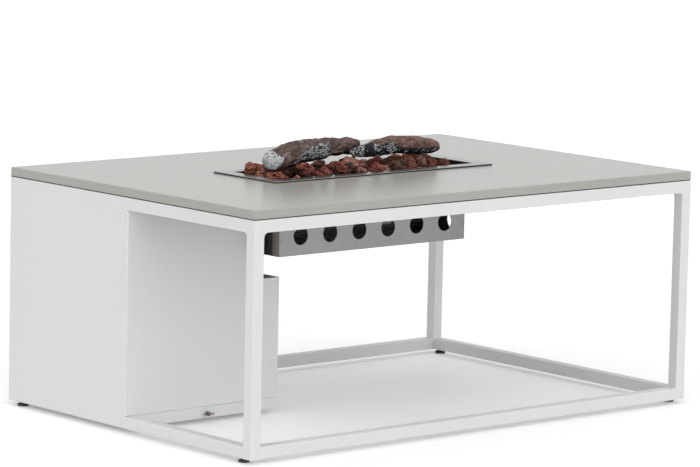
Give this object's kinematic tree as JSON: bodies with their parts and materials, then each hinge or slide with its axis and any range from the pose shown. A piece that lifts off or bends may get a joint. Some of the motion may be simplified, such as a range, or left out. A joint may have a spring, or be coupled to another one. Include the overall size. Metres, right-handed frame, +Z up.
{
  "type": "fire pit table",
  "caption": "Low gas fire pit table: square-tube frame, folded metal top with a long burner tray of lava stones and ceramic logs, and a corner compartment for the gas bottle.",
  "frame": {"origin": "on the floor under the middle of the table", "axes": "+X along the long side towards the open end, the compartment is at -X; +Y towards the back, where the door and the controls are; +Z up"},
  "size_m": [1.2, 0.8, 0.5725],
  "materials": {
    "white_powder_coat": "smooth satin powder coat",
    "taupe_powder_coat": "satin powder coat, warm light grey",
    "brushed_stainless": "brushed stainless sheet",
    "zinc_steel": "bright zinc plated",
    "black_plastic": "matt black",
    "pad_rubber": "matt",
    "brass": "machined",
    "white_ceramic": "glazed ceramic",
    "lava_stone": "rough porous stone",
    "log_ceramic": "rough painted ceramic",
    "aluminium_pipe": "drawn tube"
  },
  "bodies": {
    "table": {"front_left_post": "white_powder_coat", "front_right_post": "white_powder_coat", "front_top_rail": "white_powder_coat", "front_bottom_rail": "white_powder_coat", "back_left_post": "white_powder_coat", "back_right_post": "white_powder_coat", "back_top_rail": "white_powder_coat", "back_bottom_rail": "white_powder_coat", "left_top_rail": "white_powder_coat", "left_bottom_rail": "white_powder_coat", "left_cross_rail": "white_powder_coat", "right_top_rail": "white_powder_coat", "right_bottom_rail": "white_powder_coat", "right_cross_rail": "white_powder_coat", "compartment_front_beam": "white_powder_coat", "compartment_side_beam": "white_powder_coat", "table_top": "taupe_powder_coat", "top_pads": "pad_rubber", "compartment_shell": "white_powder_coat", "compartment_floor": "white_powder_coat", "door_pivot_pins": "zinc_steel", "door_washer": "black_plastic", "magnetic_catch": "black_plastic", "burner_flange": "brushed_stainless", "burner_box": "brushed_stainless", "rock_pan": "brushed_stainless", "pan_ledges": "brushed_stainless", "burner_tube": "brushed_stainless", "burner_saddles": "brushed_stainless", "gas_injector": "brass", "ignition_electrode": "white_ceramic", "flame_sensor": "brushed_stainless", "gas_valve": "brass", "igniter_body": "black_plastic", "igniter_nut": "brushed_stainless", "gas_inlet": "brass", "supply_pipe": "aluminium_pipe", "burner_pipe": "aluminium_pipe", "lava_rocks": "lava_stone", "foot_inserts": "zinc_steel", "wing_screw_washer": "zinc_steel"},
    "door": {"compartment_door": "white_powder_coat", "strike_plate": "zinc_steel"},
    "spindle": {"valve_spindle": "zinc_steel"},
    "knob": {"control_knob": "black_plastic"},
    "button": {"igniter_button": "black_plastic"},
    "screw": {"wing_screw": "zinc_steel"},
    "log_left": {"left_log": "log_ceramic"},
    "log_right": {"right_log": "log_ceramic"},
    "foot_front_left": {"foot_front_left": "black_plastic"},
    "foot_front_right": {"foot_front_right": "black_plastic"},
    "foot_back_left": {"foot_back_left": "black_plastic"},
    "foot_back_right": {"foot_back_right": "black_plastic"}
  },
  "joints": [
    {"name": "door_hinge", "type": "hinge", "parent": "table", "child": "door", "pos_m": [-0.569, 0.396, 0.2], "axis": [0, 0, 1], "range_deg": [0, 110]},
    {"name": "knob_push", "type": "slide", "parent": "table", "child": "spindle", "axis": [0, -1, 0], "range_m": [0, 0.004], "stiffness_N_per_m": 600},
    {"name": "knob_turn", "type": "hinge", "parent": "spindle", "child": "knob", "pos_m": [0.12, 0.07, 0.385], "axis": [0, 1, 0], "range_deg": [0, 180]},
    {"name": "igniter_press", "type": "slide", "parent": "table", "child": "button", "axis": [0, -1, 0], "range_m": [0, 0.006], "stiffness_N_per_m": 600},
    {"name": "wing_screw_turn", "type": "hinge", "parent": "table", "child": "screw", "pos_m": [-0.388, 0, 0.0185], "axis": [0, -1, 0], "continuous": true},
    {"name": "left_log_lift", "type": "slide", "parent": "table", "child": "log_left", "axis": [0, 0, 1], "range_m": [0, 0.15]},
    {"name": "right_log_lift", "type": "slide", "parent": "table", "child": "log_right", "axis": [0, 0, 1], "range_m": [0, 0.15]},
    {"name": "foot_front_left_turn", "type": "hinge", "parent": "table", "child": "foot_front_left", "pos_m": [-0.5875, -0.365, 0.005], "axis": [0, 0, 1], "continuous": true},
    {"name": "foot_front_right_turn", "type": "hinge", "parent": "table", "child": "foot_front_right", "pos_m": [0.5875, -0.365, 0.005], "axis": [0, 0, 1], "continuous": true},
    {"name": "foot_back_left_turn", "type": "hinge", "parent": "table", "child": "foot_back_left", "pos_m": [-0.5875, 0.365, 0.005], "axis": [0, 0, 1], "continuous": true},
    {"name": "foot_back_right_turn", "type": "hinge", "parent": "table", "child": "foot_back_right", "pos_m": [0.5875, 0.365, 0.005], "axis": [0, 0, 1], "continuous": true}
  ]
}
